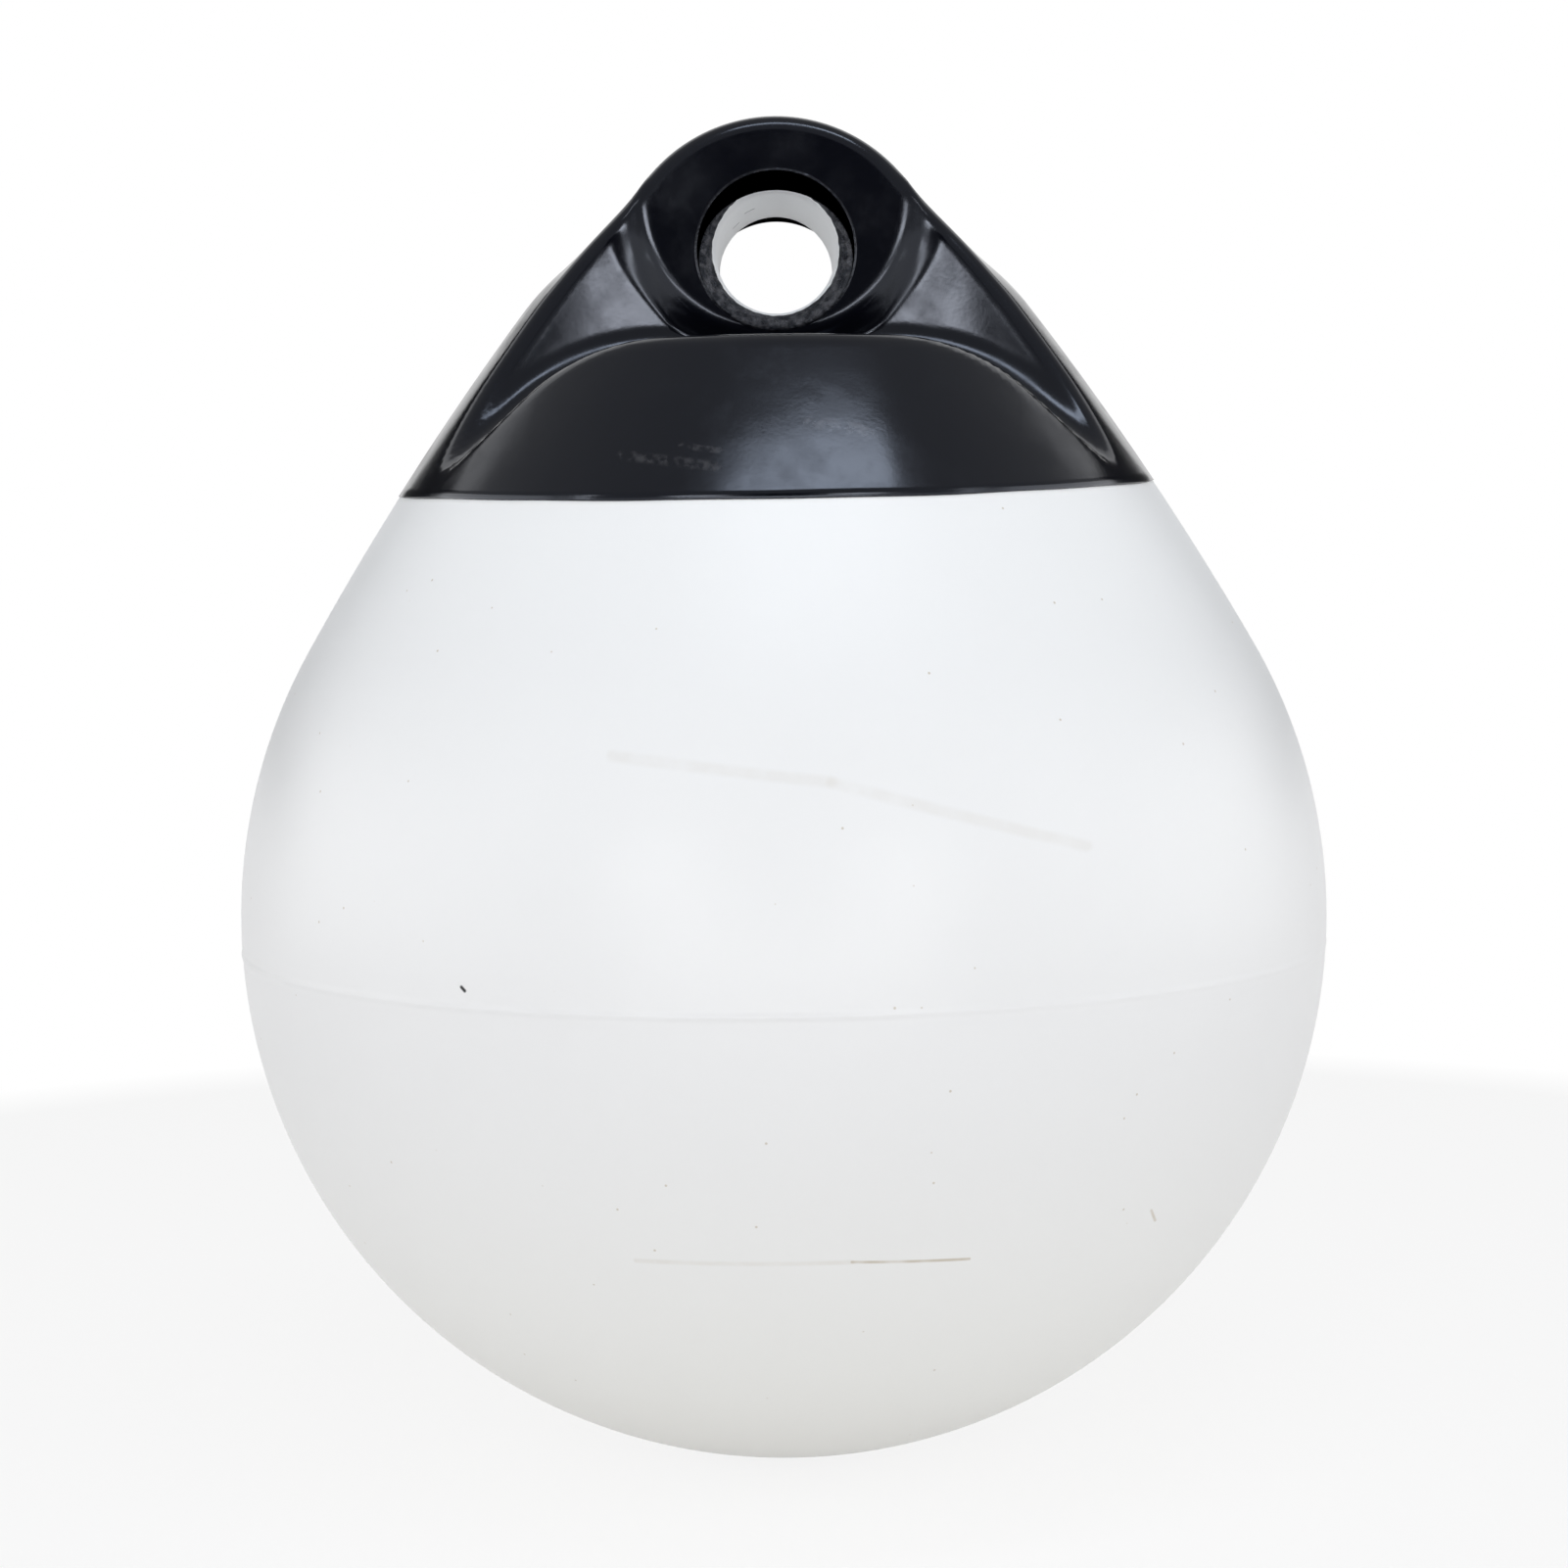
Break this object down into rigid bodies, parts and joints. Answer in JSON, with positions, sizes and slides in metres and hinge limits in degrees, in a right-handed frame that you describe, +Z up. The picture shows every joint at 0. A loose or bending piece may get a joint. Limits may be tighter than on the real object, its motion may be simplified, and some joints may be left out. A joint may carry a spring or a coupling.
{
  "type": "ball fender",
  "caption": "Inflatable round mooring fender: hollow vinyl ball with a solid moulded head, rope eye through the head, scooped front and back, and a screw-plug air valve behind",
  "frame": {"origin": "middle of the rope eye: on the eye's axis, halfway between its two mouths", "axes": "+Z up from the ball to the head, Y along the rope eye with the valve on the +Y side, X across the webs"},
  "size_m": [0.3008, 0.3008, 0.3658],
  "materials": {
    "white_vinyl": "smooth glossy white soft vinyl, faint scuffs and a mould seam",
    "black_coat": "glossy black coat with a blue cast and light smudges",
    "valve_plastic": "fine satin moulded nylon, black",
    "screw_plastic": "satin moulded nylon, off-white",
    "seal_rubber": "matt black rubber"
  },
  "bodies": {
    "root": {"moulded_body": "white_vinyl", "head_coat": "black_coat", "valve_body": "valve_plastic", "valve_screw": "screw_plastic", "valve_seal": "seal_rubber"}
  },
  "joints": []
}
